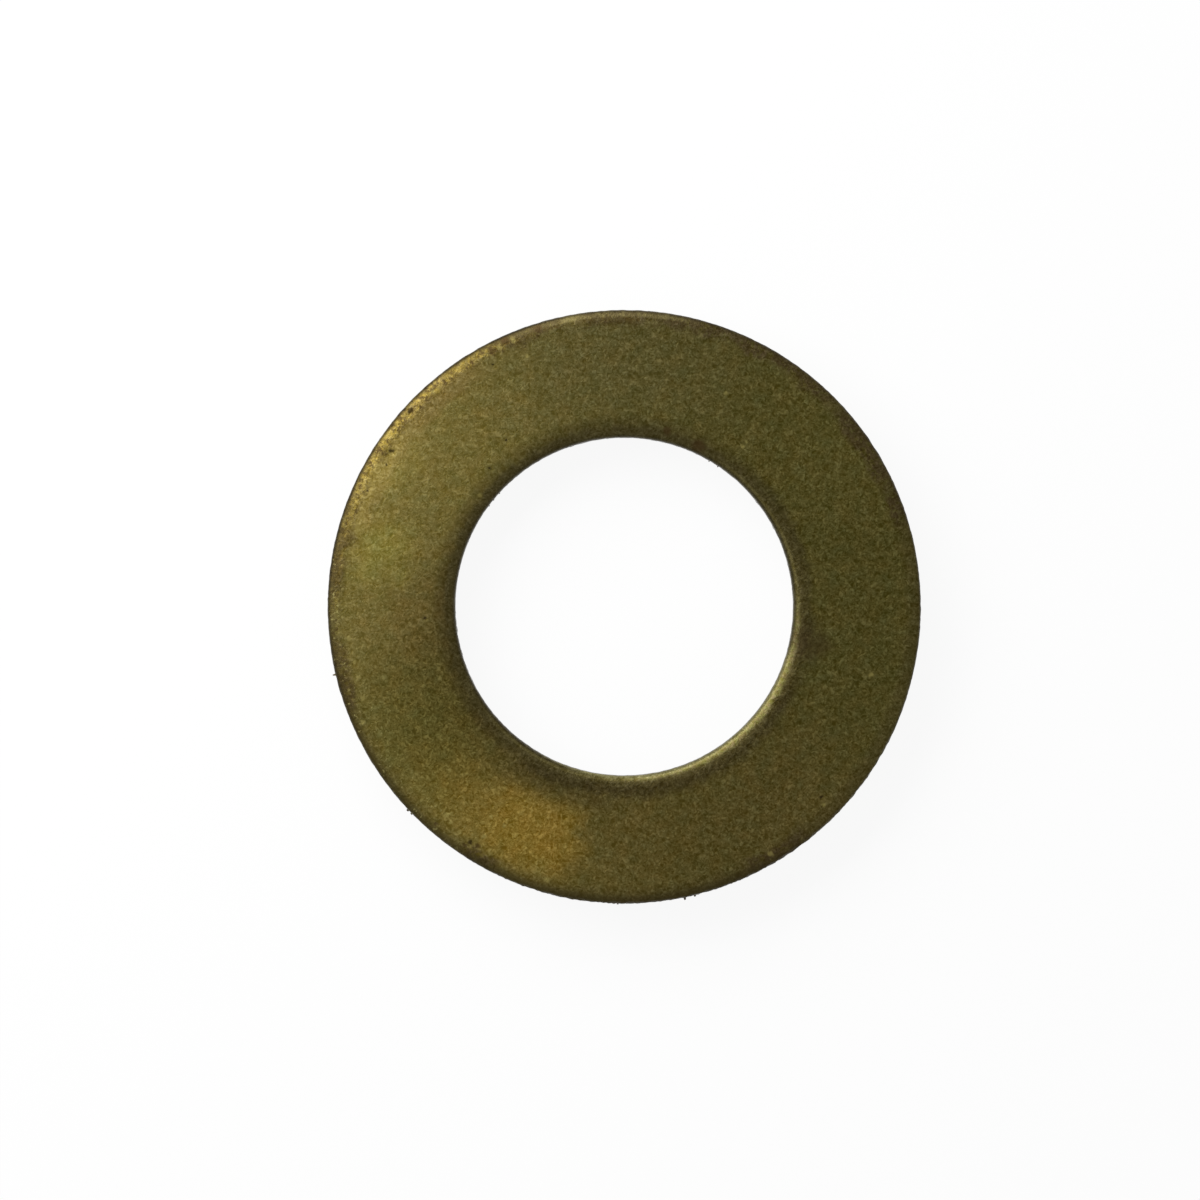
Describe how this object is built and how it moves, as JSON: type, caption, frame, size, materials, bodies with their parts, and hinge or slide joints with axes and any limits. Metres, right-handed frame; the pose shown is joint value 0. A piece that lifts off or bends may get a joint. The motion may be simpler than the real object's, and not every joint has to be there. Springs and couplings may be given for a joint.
{
  "type": "flat washer",
  "caption": "Plain flat ring washer stamped from tarnished brass plate, with softly rolled upper edges and a round bore that takes a bolt.",
  "frame": {"origin": "centre of the lower bearing face, on the axis of the bore", "axes": "+Z along the bore axis, from the lower face towards the face with the rolled edges"},
  "size_m": [0.03, 0.03, 0.003],
  "materials": {
    "tarnished_brass": "satin"
  },
  "bodies": {
    "root": {"washer": "tarnished_brass"}
  },
  "joints": []
}
